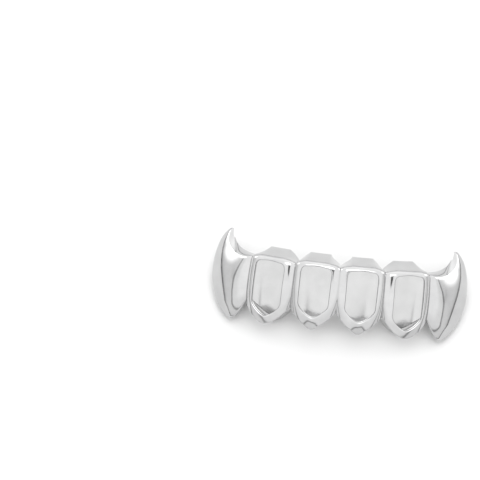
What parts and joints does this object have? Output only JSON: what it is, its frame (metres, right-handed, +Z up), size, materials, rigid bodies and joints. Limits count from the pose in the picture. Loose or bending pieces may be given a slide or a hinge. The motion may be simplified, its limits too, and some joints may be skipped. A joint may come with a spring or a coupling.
{
  "type": "fang tooth grillz",
  "caption": "Row of polished silver tooth caps with a pointed fang at each end, windows cut in the middle caps and an open trough that fits over the lower front teeth.",
  "frame": {"origin": "centre of the footprint, on the surface the row lies on", "axes": "+X along the row towards the right fang as the camera sees it, +Y towards the back of the arch, +Z up"},
  "size_m": [0.036, 0.0142, 0.0101],
  "materials": {
    "polished_silver": "mirror polish"
  },
  "bodies": {
    "root": {"fang_grillz": "polished_silver"}
  },
  "joints": []
}
